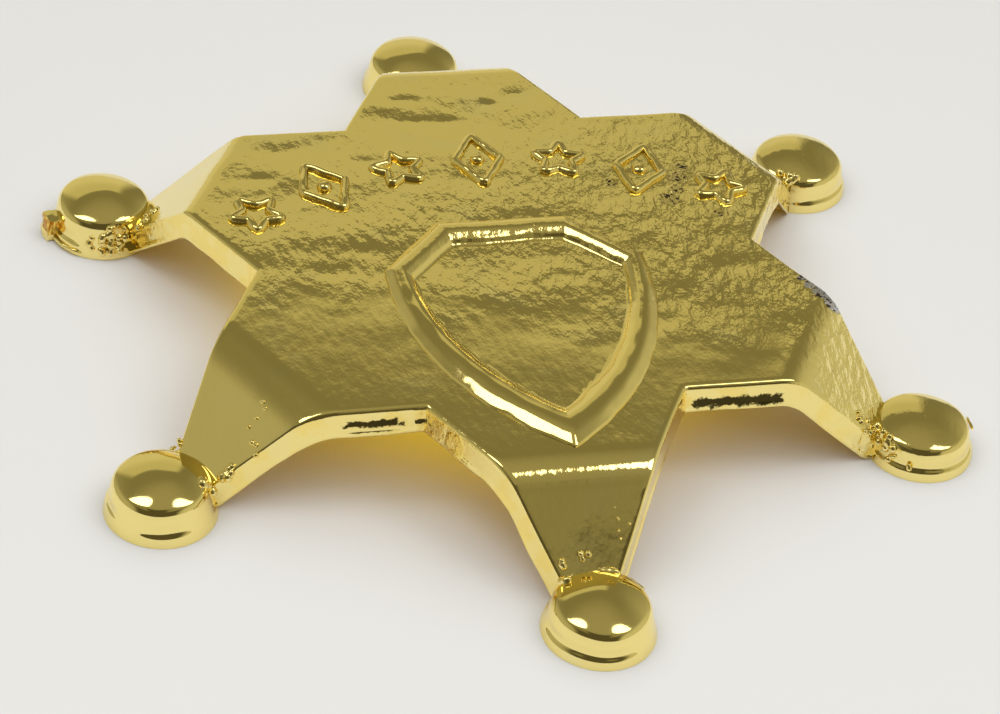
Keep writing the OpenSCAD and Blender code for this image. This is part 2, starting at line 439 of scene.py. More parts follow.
def ray(degrees, radius=1.0):
    """A point at a radius in a direction from +X."""
    return radius * np.array([math.cos(math.radians(degrees)), math.sin(math.radians(degrees))])


def lift(xy, z):
    """Points on the plane raised to a height or heights."""
    return np.column_stack([xy, np.broadcast_to(z, len(xy))])


def smoothstep(low, high, x):
    t = np.clip((x - low) / (high - low), 0, 1)
    return t * t * (3 - 2 * t)


def waves(points, seed, short, long, stretch=(1, 1, 1), count=40):
    """Smooth random heights of about -1 to 1, cosine waves with lengths from short to long."""
    rng = np.random.default_rng(seed)
    heading = rng.normal(size=(count, 3))
    heading /= np.linalg.norm(heading, axis=1)[:, None]
    wavelength = short * (long / short) ** rng.random(count)
    phase = rng.random(count) * 2 * np.pi
    turns = 2 * np.pi * heading / wavelength[:, None] / np.array(stretch)
    return np.cos(points @ turns.T + phase) @ wavelength / np.sqrt((wavelength**2).sum())


def shifts(points, seeds, short, long):
    """Smooth random heights side by side, one column for each seed."""
    return np.column_stack([waves(points, seed, short, long) for seed in seeds])


def loop_faces(first, second):
    """Quads between two closed loops of as many points."""
    count = len(first)
    return [(first[i], first[(i + 1) % count], second[(i + 1) % count], second[i]) for i in range(count)]


def loops_of(sides, rings):
    """The numbers of the points of rings that follow each other, a closed loop for each ring."""
    return [list(range(ring * sides, (ring + 1) * sides)) for ring in range(rings)]


def skin(loops):
    """Quads from each loop to the next."""
    return [quad for first, second in zip(loops, loops[1:]) for quad in loop_faces(first, second)]


def tube(name, rings, material):
    """A closed body through rings of as many points, with a flat face at both ends."""
    loops = loops_of(len(rings[0]), len(rings))
    faces = [tuple(loops[0]), tuple(loops[-1])] + skin(loops)
    return new_object(name, [point for ring in rings for point in ring], faces, material)


def arc(centre, radius, start, end, steps):
    """Points on an arc between two directions in degrees."""
    turns = np.radians(np.linspace(start, end, steps))
    return [(centre[0] + radius * math.cos(t), centre[1] + radius * math.sin(t)) for t in turns]


def circle(centre, radius, sides):
    """Points round a circle."""
    return arc(centre, radius, 0, 360 * (1 - 1 / sides), sides)


# Star plate

# Radius of the rounding at each point's fold, in millimetres
FOLD_ROUNDING = {BACK: 2.6, LEFT: 1.5, FRONT_LEFT: 4.4, FRONT: 4.0, FRONT_RIGHT: 2.4, RIGHT: 2.4}
# Shallow dimples in the face, in millimetres: middle, and half their length and width
DIMPLES = (
    (-14.7, 13.3, 1.5, 0.7), (-16.4, 10.2, 1.0, 0.5), (-8.4, 11.6, 0.9, 0.5), (-13.1, -0.9, 1.5, 0.7),
    (-9.6, 1.1, 1.4, 0.7), (-3.9, 16.1, 1.2, 0.5), (-1.6, 15.9, 1.1, 0.5), (-1.5, 9.0, 0.9, 0.8),
    (2.4, -0.8, 2.1, 0.7), (4.6, 18.7, 0.9, 0.5), (2.3, 17.8, 0.8, 0.4), (-4.2, 18.7, 1.0, 0.4),
    (2.8, 3.8, 1.9, 0.6), (9.9, -0.6, 0.9, 1.0), (10.9, -6.2, 1.1, 1.1), (15.8, -3.0, 1.6, 0.8),
)
DIMPLE_DEPTH = 0.045
# How far the plate's outline strays, in millimetres
PLATE_SHIFT = 0.03
# Rows of a side wall, the share of its height that lies above the parting line, and the rows of a
# rounded edge as shares of its turn
WALL_ROWS = 12
PARTING_SHARE = 0.8
FILLET_STEPS = (0.2, 0.4, 0.6, 0.8, 1.0)
# Steps from notch to point to notch round the star, in rows along the grid's two axes
STAR_CORNERS = (
    (1, 0), (1, 1), (0, 1), (-1, 2), (-1, 1), (-2, 1),
    (-1, 0), (-1, -1), (0, -1), (1, -2), (1, -1), (2, -1),
)


def star_grid(rows):
    """Triangles that fill a star whose points reach radius 1: points, triangles and edge loop."""
    side = 1 / math.sqrt(3) / rows
    reach = np.arange(-2 * rows, 2 * rows + 1)
    i, j = (axis.ravel() for axis in np.meshgrid(reach, reach, indexing="ij"))
    points = np.stack([(i + j / 2) * side, j * math.sqrt(3) / 2 * side], -1)

    def inside(xy):
        triangles = ((RIGHT, LEFT, FRONT), (BACK, FRONT_LEFT, FRONT_RIGHT))
        reached = [np.max([xy @ ray(a) for a in triangle], axis=0) for triangle in triangles]
        return np.minimum(*reached) < 0.5 + side / 10

    keep = inside(points)
    number = {place: k for k, place in enumerate(zip(i[keep].tolist(), j[keep].tolist()))}
    points = points[keep]
    faces = []
    for a, b in number:
        for corners in (((a, b), (a + 1, b), (a, b + 1)), ((a, b), (a, b + 1), (a - 1, b + 1))):
            if all(corner in number for corner in corners):
                faces.append([number[corner] for corner in corners])
    faces = np.array(faces)
    faces = faces[inside(points[faces].mean(axis=1))]
    edge = []
    for k, (a, b) in enumerate(STAR_CORNERS):
        c, d = STAR_CORNERS[(k + 1) % len(STAR_CORNERS)]
        edge += [number[a * rows + (c - a) * s, b * rows + (d - b) * s] for s in range(rows)]
    return points, faces, edge


def face_height(plate, xy):
    """Height of the upper surface, with each fold's own rounding."""
    reach = xy @ np.array([ray(a) for a in POINTS]).T
    along = reach.max(axis=1)
    rounding = np.array([FOLD_ROUNDING[a] for a in POINTS])[reach.argmax(axis=1)]
    start = mm(plate.fold_radius) - rounding * math.tan(plate.slope / 2)
    curved = rounding * math.sin(plate.slope)
    into = np.clip(along - start, 0, curved)
    bend = rounding - np.sqrt(rounding**2 - into**2)
    return mm(plate.face_height) - bend - np.maximum(along - start - curved, 0) * math.tan(plate.slope)


def face_waves(xy, height):
    """Slow waves in the face, calm at the front left, and its dimples."""
    share = 0.15 + 0.85 * smoothstep(-13, 0, xy[:, 0] * 0.4 + xy[:, 1])
    relief = height * waves(lift(xy, 0), 3, 2.0, 8, (1.6, 1, 1)) * share
    for x, y, along, across in DIMPLES:
        reach = ((xy[:, 0] - x) / along) ** 2 + ((xy[:, 1] - y) / across) ** 2
        relief -= DIMPLE_DEPTH * np.exp(-reach / 1.5)
    return relief


def edge_rounding(plate, xy):
    """Rounding of the upper edge, which is sharper on the folded points."""
    top = face_height(plate, np.zeros((1, 2)))[0]
    return mm(plate.top_round) * (1 - 0.55 * smoothstep(0.1, 0.9, top - face_height(plate, xy)))


def plate_mesh(plate, material):
    """Closed plate: face, rounded edge, side walls with a parting ledge, and back."""
    rows = plate.rows
    edge_distance = mm(plate.point_radius) / 2
    wall = mm(plate.wall)
    round_base = mm(plate.base_round)
    upper, upper_faces, upper_edge = star_grid(rows)
    lower, lower_faces, lower_edge = star_grid(rows // 2)
    outline = upper[upper_edge] * mm(plate.point_radius)
    round_top = edge_rounding(plate, outline)
    seam = waves(lift(outline, 0), 11, 2.0, 9)

    def layer(xy, out, drop):
        """The outline or a grid moved out from its edges, at a depth below the upper surface."""
        xy = xy * (1 + np.broadcast_to(out, len(xy)) / edge_distance)[:, None]
        height = face_height(plate, xy) - drop
        height += face_waves(xy, mm(plate.face_wave)) * (1 - drop / wall)
        # The points end inside the ball tips, clear of the floor
        lowest = 0.8 - 0.7 * drop / wall
        return lift(xy, np.maximum(height, lowest))

    swing = math.pi / 2 - plate.draft
    edge_out = round_top * (math.sin(swing) - 1)
    edge_drop = round_top * (1 - math.cos(swing))
    base_drop = wall - round_base
    layers = []
    for step in FILLET_STEPS:
        turn = step * swing
        layers.append(layer(outline, round_top * (math.sin(turn) - 1), round_top * (1 - math.cos(turn))))
    for row in range(1, WALL_ROWS + 1):
        drop = edge_drop + (base_drop - edge_drop) * row / WALL_ROWS
        below = drop - wall * PARTING_SHARE - 0.05 * seam
        ledge = mm(plate.ledge) * smoothstep(-0.12, 0.12, below)
        ledge = ledge * smoothstep(-0.9, 0.6, np.roll(seam, rows))
        out = edge_out + (drop - edge_drop) * math.tan(plate.draft) + ledge
        layers.append(layer(outline, out, drop))
    for step in FILLET_STEPS[1::2]:
        turn = step * math.pi / 2
        back_out = out - round_base * (1 - math.cos(turn))
        layers.append(layer(outline, back_out, base_drop + round_base * math.sin(turn)))
    upper = upper * mm(plate.point_radius)
    face = layer(upper, -edge_rounding(plate, upper), 0)
    back = layer(lower * mm(plate.point_radius), (out - round_base).mean(), wall)

    parts = [face] + layers + [back]
    starts = np.cumsum([0] + [len(part) for part in parts]).tolist()
    faces = upper_faces.tolist()
    above = upper_edge
    for start, part in zip(starts[1:], layers):
        below = list(range(start, start + len(part)))
        faces += loop_faces(above, below)
        above = below
    back_start = starts[-2]
    for k in range(len(lower_edge)):
        first, second = (back_start + lower_edge[(k + s) % len(lower_edge)] for s in (0, 1))
        a, b, c = (above[(2 * k + s) % len(above)] for s in (0, 1, 2))
        faces += [(a, b, first), (b, second, first), (b, c, second)]
    faces += (lower_faces + back_start).tolist()
    verts = np.vstack(parts)
    verts[:, :2] += PLATE_SHIFT * shifts(verts, (5, 6), 4, 14)
    return new_object(STAR, verts, faces, material)


# Ball tips

TIP_SIDES = 80
# In millimetres: height of the skirt's parting line, how far the skirt steps out below it, half the
# height over which it does, the slow waves of a ball tip, and how uneven the torn gate is
TIP_PARTING, TIP_LEDGE, TIP_LEDGE_RISE, TIP_WAVES, GATE_UNEVEN = 0.84, 0.16, 0.15, 0.04, 0.09
# How far a ball tip lies from its place on the ring, and its height's share of the full height
TIP_FITS = {
    BACK: (-0.4, 0.0, 1.0), LEFT: (0.0, 0.0, 1.0), FRONT_LEFT: (0.0, 0.0, 1.0), FRONT: (0.22, 0.74, 0.92),
    FRONT_RIGHT: (0.56, 0.56, 0.86), RIGHT: (0.2, 0.5, 0.9),
}


def tip_centre(tips, tip):
    """Where the middle of a ball tip rests."""
    return ray(tip, mm(tips.ring_radius)) + TIP_FITS[tip][:2]


def tip_mesh(tips, material):
    """One ball tip at the origin: shallow crown, rounded shoulder and drafted skirt."""
    base, dome = mm(tips.base_radius), mm(tips.dome_radius)
    rim, top, rounding = mm(tips.dome_height), mm(tips.height), mm(tips.rounding)
    side, rise = dome - rounding, top - rim
    crown = (side**2 + rise**2 - rounding**2) / 2 / (rise - rounding)
    meet = math.atan2(side, crown - rise)
    section = []
    for turn in np.linspace(0, meet, 9)[1:-1]:
        section.append((crown * math.sin(turn), top - crown + crown * math.cos(turn)))
    skirt = math.atan2(base - dome, rim + rounding / 4)
    for turn in np.linspace(meet, math.pi / 2 - skirt, 11):
        section.append((side + rounding * math.sin(turn), rim + rounding * math.cos(turn)))
    start, level = section[-1]
    for share in np.linspace(0, 1, 36)[1:-1]:
        section.append((start + (base - start) * share, level * (1 - share)))
    section.append((base - 0.02, 0.0))
    turns = np.arange(TIP_SIDES) * 2 * np.pi / TIP_SIDES
    circle = np.column_stack([np.cos(turns), np.sin(turns)])
    verts = [lift(circle * radius, z) for radius, z in section] + [[(0, 0, top)], [(0, 0, 0)]]
    loops = loops_of(TIP_SIDES, len(section))
    faces = skin(loops)
    crown_top = len(section) * TIP_SIDES
    for loop, hub in ((loops[0], crown_top), (loops[-1], crown_top + 1)):
        faces += [(loop[i], loop[(i + 1) % TIP_SIDES], hub) for i in range(TIP_SIDES)]
    return new_object("ball_tips", np.vstack(verts), faces, material)


def tips_tree():
    """Geometry nodes that set copies of a tip round a ring."""
    nodes, given = geometry_tree("Ball tips", {
        "Tip": "Geometry", "Count": "Int", "Ring radius": "Float", "Material": "Material",
    })
    ring = nodes.add("GeometryNodeMeshCircle", {}, {
        "Vertices": given["Count"], "Radius": given["Ring radius"],
    })
    turned = nodes.add("GeometryNodeTransform", {}, {0: ring, "Rotation": (0, 0, math.radians(BACK))})
    tips = nodes.add("GeometryNodeInstanceOnPoints", {}, {"Points": turned, "Instance": given["Tip"]})
    end_tree(nodes, tips, given["Material"])
    return nodes.tree


def wear_tips(obj, tips):
    """Gives each ball tip its own slow waves and a broken parting ledge low on its skirt."""
    points = points_of(obj)
    centres = np.array([ray(a, mm(tips.ring_radius)) for a in POINTS])
    nearest = np.linalg.norm(points[:, None, :2] - centres, axis=2).argmin(axis=1)
    outward = points[:, :2] - centres[nearest]
    radius = np.linalg.norm(outward, axis=1)
    outward /= np.maximum(radius, 0.01)[:, None]
    height = points[:, 2].copy()
    around = lift(points[:, :2] + outward, 0)
    level = TIP_PARTING + 0.07 * waves(around, 24, 4, 9)
    broken = 0.08 + 0.92 * smoothstep(-0.7, 0.4, waves(around, 23, 3, 8))
    in_from_ledge = smoothstep(-TIP_LEDGE_RISE, TIP_LEDGE_RISE, height - level)
    in_from_ledge = in_from_ledge * smoothstep(1.9, 1.1, height)
    skirt = radius > mm(tips.dome_radius) - 0.15
    points[:, :2] -= outward * (TIP_LEDGE * in_from_ledge * broken * skirt)[:, None]
    share = 0.3 + 0.7 * smoothstep(0.1, 1.2, height)
    points += TIP_WAVES * share[:, None] * shifts(points, (25, 26, 27), 2.2, 8)
    points[:, 2] = np.where(height > 0, np.maximum(points[:, 2], 0.02), 0)
    points *= np.array([(1, 1, TIP_FITS[a][2]) for a in POINTS])[nearest]
    points[:, :2] += np.array([TIP_FITS[a][:2] for a in POINTS])[nearest]
    move_points(obj, points)


def gate_mesh(tips, skin, torn_face):
    """Torn stub of the casting gate on the left ball tip."""
    work = bmesh.new()
    bmesh.ops.create_cube(work, size=1)
    bmesh.ops.subdivide_edges(work, edges=work.edges[:], cuts=13, use_grid_fill=True)
    for face in work.faces:
        middle = face.calc_center_median()
        face.material_index = int(middle.z > -0.15 and (middle.x > 0.49 or middle.y > 0.49))
    mesh = bpy.data.meshes.new("gate")
    work.to_mesh(mesh)
    work.free()
    mesh.materials.append(skin)
    mesh.materials.append(torn_face)
    obj = linked("gate", mesh)
    points = points_of(obj)
    reach = mm(tips.base_radius + tips.gate_out)
    torn = smoothstep(0.25, 0.5, points[:, 0])
    share = points[:, 2] + 0.5
    points = (points + (0.5, 0, 0.5)) * (reach, mm(tips.gate_width), mm(tips.gate_height))
    points[:, 0] -= mm(tips.gate_slant) * torn * share
    points += torn[:, None] * GATE_UNEVEN * shifts(points, (31, 32, 33), 0.45, 2.0)
    points[:, 0] = np.minimum(points[:, 0], reach)
    points[:, 2] = np.maximum(points[:, 2], 0.02)
    move_points(obj, points)
    centre = Vector((*tip_centre(tips, LEFT), 0))
    obj.data.transform(Matrix.Translation(centre) @ Matrix.Rotation(tips.gate_turn, 4, "Z"))
    return obj


# Droplets of metal at the ball tips: the tip they lie at, what they sit on, the range of their
# directions from the tip's middle (0 is towards the star's middle), the range of their distance from
# it on the point's face or of their height on the skirt, their smallest and largest radius before
# they grow, and their number
DROPLETS = (
    ("tip", "ground", "turns", "reach", "size", "count"),
    (FRONT_LEFT, "face", (-38, -30), (3.7, 4.6), (0.22, 0.32), 5),
    (FRONT_LEFT, "face", (-34, -24), (4.6, 6.4), (0.12, 0.2), 6),
    (FRONT_LEFT, "face", (-16, -6), (6.0, 9.0), (0.1, 0.15), 4),
    (FRONT_LEFT, "skirt", (-50, -42), (1.9, 2.9), (0.22, 0.34), 5),
    (FRONT_LEFT, "face", (32, 42), (3.6, 4.4), (0.1, 0.16), 5),
    (LEFT, "face", (-36, -10), (3.9, 4.9), (0.12, 0.2), 14),
    (LEFT, "skirt", (-62, -38), (1.3, 2.5), (0.14, 0.24), 16),
    (LEFT, "skirt", (-50, -46), (0.5, 2.0), (0.2, 0.26), 6),
    (LEFT, "skirt", (-60, -57), (0.5, 2.1), (0.2, 0.26), 6),
    (LEFT, "skirt", (-71, -67), (0.5, 2.0), (0.2, 0.28), 6),
    (LEFT, "skirt", (-84, -80), (0.8, 1.7), (0.18, 0.24), 4),
    (FRONT, "face", (4, 20), (3.3, 3.7), (0.16, 0.22), 3),
    (FRONT, "face", (-34, -18), (4.4, 6.4), (0.08, 0.11), 5),
    (FRONT, "face", (28, 36), (3.6, 4.2), (0.18, 0.28), 3),
    (FRONT, "skirt", (40, 50), (2.1, 2.9), (0.2, 0.3), 3),
    (FRONT_RIGHT, "face", (22, 42), (3.6, 5.0), (0.1, 0.17), 12),
    (FRONT_RIGHT, "skirt", (28, 66), (1.3, 2.5), (0.16, 0.3), 20),
    (FRONT_RIGHT, "skirt", (64, 92), (0.9, 1.4), (0.12, 0.2), 6),
    (RIGHT, "skirt", (14, 42), (2.2, 2.7), (0.26, 0.34), 5),
    (RIGHT, "skirt", (-165, -150), (1.0, 1.6), (0.14, 0.2), 4),
    (BACK, "face", (-30, 30), (3.6, 4.0), (0.12, 0.22), 12),
    (LEFT, "skirt", (72, 112), (0.12, 0.3), (0.14, 0.22), 12),
)
# Beads along the foot of a point's face and thin flash on the skirts: tip, range of directions as
# above, distance from the tip's middle, height and thickness
BEADS = (
    (FRONT, (-36, -4), 2.95, 2.62, 0.3), (FRONT, (4, 40), 3.1, 2.42, 0.24),
    (FRONT, (-70, -44), 3.4, 2.0, 0.16), (FRONT_RIGHT, (-164, -140), 3.6, 1.9, 0.12),
    (BACK, (-34, 34), 3.3, 2.6, 0.22), (LEFT, (-138, -92), 3.92, 0.35, 0.17),
)
# A bead's sides, how uneven it is as a share of its thickness, and the lowest place of its points
BEAD_SIDES, BEAD_UNEVEN, BEAD_LOW = 12, 0.25, 0.05
# What makes up for the skin that the volume takes off a droplet, and the volume's grid in millimetres
DROPLET_GROWTH, DROPLET_VOXEL = 1.25, 0.075


def skirt_radius(tips, height):
    """Distance of a ball tip's surface from its middle at a height."""
    side = mm(tips.base_radius) + mm(tips.dome_radius - tips.base_radius) * height / mm(tips.dome_height)
    above = max(height - mm(tips.dome_height), 0) / mm(tips.height - tips.dome_height)
    return min(side, mm(tips.dome_radius)) * math.sqrt(1 - min(above, 1) ** 2) if above else side


def droplets_tree():
    """Geometry nodes that turn points with a size into fused droplets."""
    nodes, given = geometry_tree("Droplets", {
        "Places": "Geometry", "Voxel": "Float", "Material": "Material",
    })
    points = nodes.add("GeometryNodeMeshToPoints", {}, {"Mesh": given["Places"], "Radius": 1.0})
    size = nodes.add("GeometryNodeInputNamedAttribute", {"data_type": "FLOAT"}, {"Name": "size"})
    volume = nodes.add("GeometryNodePointsToVolume", {"resolution_mode": "VOXEL_SIZE"}, {
        "Points": points, "Voxel Size": given["Voxel"], "Radius": size,
    })
    mesh = nodes.add("GeometryNodeVolumeToMesh", {"resolution_mode": "VOXEL_SIZE"}, {
        "Volume": volume, "Voxel Size": given["Voxel"], "Threshold": 0.1,
    })
    end_tree(nodes, mesh, given["Material"])
    return nodes.tree


def droplet_mesh(tips, plate, material):
    """All the droplets of the table, half sunk into what they sit on."""
    rng = np.random.default_rng(61)
    places, sizes = [], []
    for row in DROPLETS[1:]:
        drop = dict(zip(DROPLETS[0], row))
        centre = tip_centre(tips, drop["tip"])
        for _ in range(drop["count"]):
            turn, reach, size = (rng.uniform(*drop[key]) for key in ("turns", "reach", "size"))
            size *= DROPLET_GROWTH
            if drop["ground"] == "face":
                xy = centre + ray(drop["tip"] + 180 + turn, reach)
                height = face_height(plate, xy[None])[0]
            else:
                xy = centre + ray(drop["tip"] + 180 + turn, skirt_radius(tips, reach))
                height = max(reach, size + 0.02)
            places.append((*xy, height))
            sizes.append(size)
    points = new_object("droplets", places)
    points.data.attributes.new("size", "FLOAT", "POINT").data.foreach_set("value", sizes)
    return grow(points, droplets_tree(), {"Voxel": DROPLET_VOXEL, "Material": material})


def bead_mesh(tips, row, material):
    """One uneven bead with tapered ends, bent round a ball tip."""
    tip, (start, end), distance, height, thick = row
    centre = tip_centre(tips, tip)
    steps = max(6, round((end - start) / 2.2))
    rings = []
    for share in np.linspace(-1, 1, steps):
        turn = tip + 180 + start + (end - start) * (share + 1) / 2
        radius = thick * (1 - abs(share) ** 5 * 0.9)
        rings.append([
            (*(centre + ray(turn, out)), z) for out, z in circle((distance, height), radius, BEAD_SIDES)
        ])
    points = np.array(sum(rings, []))
    points += thick * BEAD_UNEVEN * shifts(points, (63, 64, 65), 0.5, 2.0)
    points[:, 2] = np.maximum(points[:, 2], BEAD_LOW)
    return tube("bead", points.reshape(steps, BEAD_SIDES, 3), material)


# Shield rim

# Section of the rim: share of the way from its outer to its inner foot, and share of its height
RIM_SECTION = (
    (0.0, -0.6), (0.0, 0.0), (0.03, 0.18), (0.06, 0.28), (0.13, 0.47), (0.19, 0.66), (0.25, 0.8),
    (0.31, 0.9), (0.39, 0.965), (0.48, 1.0), (0.57, 0.99), (0.63, 0.95), (0.68, 0.86), (0.73, 0.75),
    (0.78, 0.64), (0.83, 0.53), (0.86, 0.42), (0.89, 0.24), (0.93, 0.08), (1.0, 0.0), (1.0, -0.6),
)
RIM_TOP_STEPS, RIM_CLIP_STEPS, RIM_SIDE_STEPS = 20, 28, 80


def shield_outline(top, width, height, top_width, clip, curve):
    """A shield's outline, anticlockwise from the middle of its top edge."""
    half = width / 2
    curve_drop = height - curve
    side_radius = (half**2 + curve_drop**2) / width
    centre = np.array([side_radius - half, top - curve])
    corner = np.array([-top_width / 2, top])
    down = np.array([top_width / 2 - half, -clip])
    down /= np.linalg.norm(down)
    start = corner - centre
    along = -(start @ down) + math.sqrt((start @ down) ** 2 - start @ start + side_radius**2)
    shoulder = corner + down * along
    point = np.array([0, top - height])
    first, last = (math.atan2(*(end - centre)[::-1]) % (2 * math.pi) for end in (shoulder, point))
    turns = np.linspace(first, last, RIM_SIDE_STEPS + 1)
    left = np.vstack([
        np.linspace((0, top), corner, RIM_TOP_STEPS, endpoint=False),
        np.linspace(corner, shoulder, RIM_CLIP_STEPS, endpoint=False),
        centre + side_radius * np.column_stack([np.cos(turns), np.sin(turns)]),
    ])
    left[-1, 0] = 0
    return np.vstack([left, left[-2:0:-1] * (-1, 1)])


def rim_mesh(relief, face, material):
    """Mitred rim between the shield's two outlines, with the small unevenness of a casting."""
    outer = shield_outline(*(mm(getattr(relief, name)) for name in (
        "shield_top", "shield_width", "shield_height", "top_width", "clip_height", "curve_drop",
    )))
    outer[:, 0] *= np.where(outer[:, 0] < 0, relief.lean, 1)
    inner = shield_outline(*(mm(getattr(relief, name)) for name in (
        "inner_top", "inner_width", "inner_height", "inner_top_width", "inner_clip", "inner_curve",
    )))
    inner[:, 0] += mm(relief.inner_shift)
    rings = []
    for inset, share in RIM_SECTION:
        xy = outer + (inner - outer) * inset
        uneven = 1 + 0.035 * waves(lift(xy, 0), 41, 1.2, 6) * (share > 0)
        ragged = 0.02 + 0.03 * (inset > 0.8) + 0.02 * (inset < 0.05)
        xy = xy + ragged * shifts(lift(xy, inset), (42, 43), 0.6, 4)
        rings.append(lift(xy, face + mm(relief.rim_height) * share * uneven))
    loops = loops_of(len(outer), len(rings))
    return new_object("shield_rim", np.vstack(rings), skin(loops + loops[:1]), material)


# Ornaments

# In millimetres: rounding of an outline's corners, spacing of its points, and how far a line strays
OUTLINE_ROUNDING, OUTLINE_STEP, ORNAMENT_SHIFT = 0.16, 0.2, 0.03


def ornaments_tree():
    """Geometry nodes that set raised stars and lozenges in turn along an arc."""
    nodes, given = geometry_tree("Ornaments", {
        "Count": "Int", "Arc radius": "Float", "Arc top": "Float", "Arc step": "Float", "Height": "Float",
        "Star radius": "Float", "Star notch": "Float", "Lozenge width": "Float", "Lozenge height": "Float",
        "Dot": "Float", "Line": "Vector", "Material": "Material",
    })
    circle_line = nodes.add("GeometryNodeCurvePrimitiveCircle", {"mode": "RADIUS"}, {
        "Resolution": 14, "Radius": 1.0,
    })
    section = nodes.add("GeometryNodeTransform", {}, {0: circle_line, "Scale": given["Line"]})

    def raised(outline):
        rounded = nodes.add("GeometryNodeFilletCurve", {"mode": "POLY"}, {
            0: outline, "Count": 3, "Radius": OUTLINE_ROUNDING,
        })
        even = nodes.add("GeometryNodeResampleCurve", {"mode": "LENGTH"}, {
            "Curve": rounded, "Length": OUTLINE_STEP,
        })
        upright = nodes.add("GeometryNodeSetCurveNormal", {"mode": "Z_UP"}, {0: even})
        return nodes.add("GeometryNodeCurveToMesh", {}, {"Curve": upright, "Profile Curve": section})

    star = nodes.add("GeometryNodeCurveStar", {}, {
        "Points": 5, "Inner Radius": given["Star notch"], "Outer Radius": given["Star radius"],
    })
    star = raised(nodes.add("GeometryNodeTransform", {}, {0: star, "Rotation": (0, 0, math.pi / 2)}))
    lozenge = raised(nodes.add("GeometryNodeCurvePrimitiveQuadrilateral", {"mode": "KITE"}, {
        "Width": given["Lozenge width"], "Bottom Height": given["Lozenge height"],
        "Top Height": given["Lozenge height"],
    }))
    ball = nodes.add("GeometryNodeMeshUVSphere", {}, {"Segments": 20, "Rings": 12, "Radius": 1.0})
    dot = nodes.add("GeometryNodeTransform", {}, {0: ball, "Scale": nodes.add("ShaderNodeCombineXYZ", {}, {
        0: given["Dot"], 1: given["Dot"],
        2: nodes.add("ShaderNodeSeparateXYZ", {}, {0: given["Line"]}, 1),
    })})
    lozenge = nodes.join([lozenge, dot])
    index = nodes.add("GeometryNodeInputIndex")
    turn = (index - (given["Count"] - 1) / 2) * given["Arc step"]
    place = nodes.add("ShaderNodeCombineXYZ", {}, {
        0: given["Arc radius"] * nodes.math("SINE", turn),
        1: given["Arc top"] - given["Arc radius"] + given["Arc radius"] * nodes.math("COSINE", turn),
        2: given["Height"],
    })
    points = nodes.add("GeometryNodePoints", {}, {"Count": given["Count"], "Position": place})
    upright = nodes.add("ShaderNodeCombineXYZ", {}, {2: 0 - turn})
    sets = nodes.join([
        nodes.add("GeometryNodeInstanceOnPoints", {}, {
            "Points": points, "Selection": turn_taken, "Instance": shape, "Rotation": upright,
        })
        for shape, turn_taken in ((star, 1 - index % 2), (lozenge, index % 2))
    ])
    end_tree(nodes, sets, given["Material"])
    return nodes.tree


def ornament_mesh(relief, face, material):
    """The arc of raised ornaments, each line a little uneven."""
    line = mm(relief.line_width)
    star, notch = mm(relief.star_radius), mm(relief.star_notch)
    turn = math.pi / 5
    side = math.sqrt(star**2 + notch**2 - 2 * star * notch * math.cos(turn))
    star_edge = star * notch * math.sin(turn) / side
    width, height = mm(relief.lozenge_width), mm(relief.lozenge_height)
    lozenge_edge = width * height / 2 / math.hypot(width, height)
    star_share, lozenge_share = 1 - line / 2 / star_edge, 1 - line / 2 / lozenge_edge
    obj = grow(new_object("ornaments"), ornaments_tree(), {
        "Count": relief.count, "Arc radius": mm(relief.arc_radius), "Arc top": mm(relief.arc_top),
        "Arc step": relief.pitch / relief.arc_radius, "Height": face,
        "Star radius": star * star_share, "Star notch": notch * star_share,
        "Lozenge width": width * lozenge_share, "Lozenge height": height / 2 * lozenge_share,
        "Dot": mm(relief.dot) / 2, "Line": (line / 2, mm(relief.line_height), 1.0), "Material": material,
    })
    points = points_of(obj)
    points += ORNAMENT_SHIFT * shifts(points, (51, 52, 53), 0.7, 3)
    move_points(obj, points)
    return obj


# Bar pin

# Steps in a round end of the strip and in a lug's round foot, and the wire's sides
END_STEPS, LUG_STEPS, WIRE_SIDES = 13, 17, 16
# In millimetres: how deep the wire's blunt end lies in its lug, and where the taper starts past the other
WIRE_DEPTH, TAPER_START = 0.3, 0.05


def prism(name, outline, low, high, material):
    """An outline on two axes, swept along the third from low to high."""
    return tube(name, [[(*p, z) for p in outline] for z in (low, high)], material)


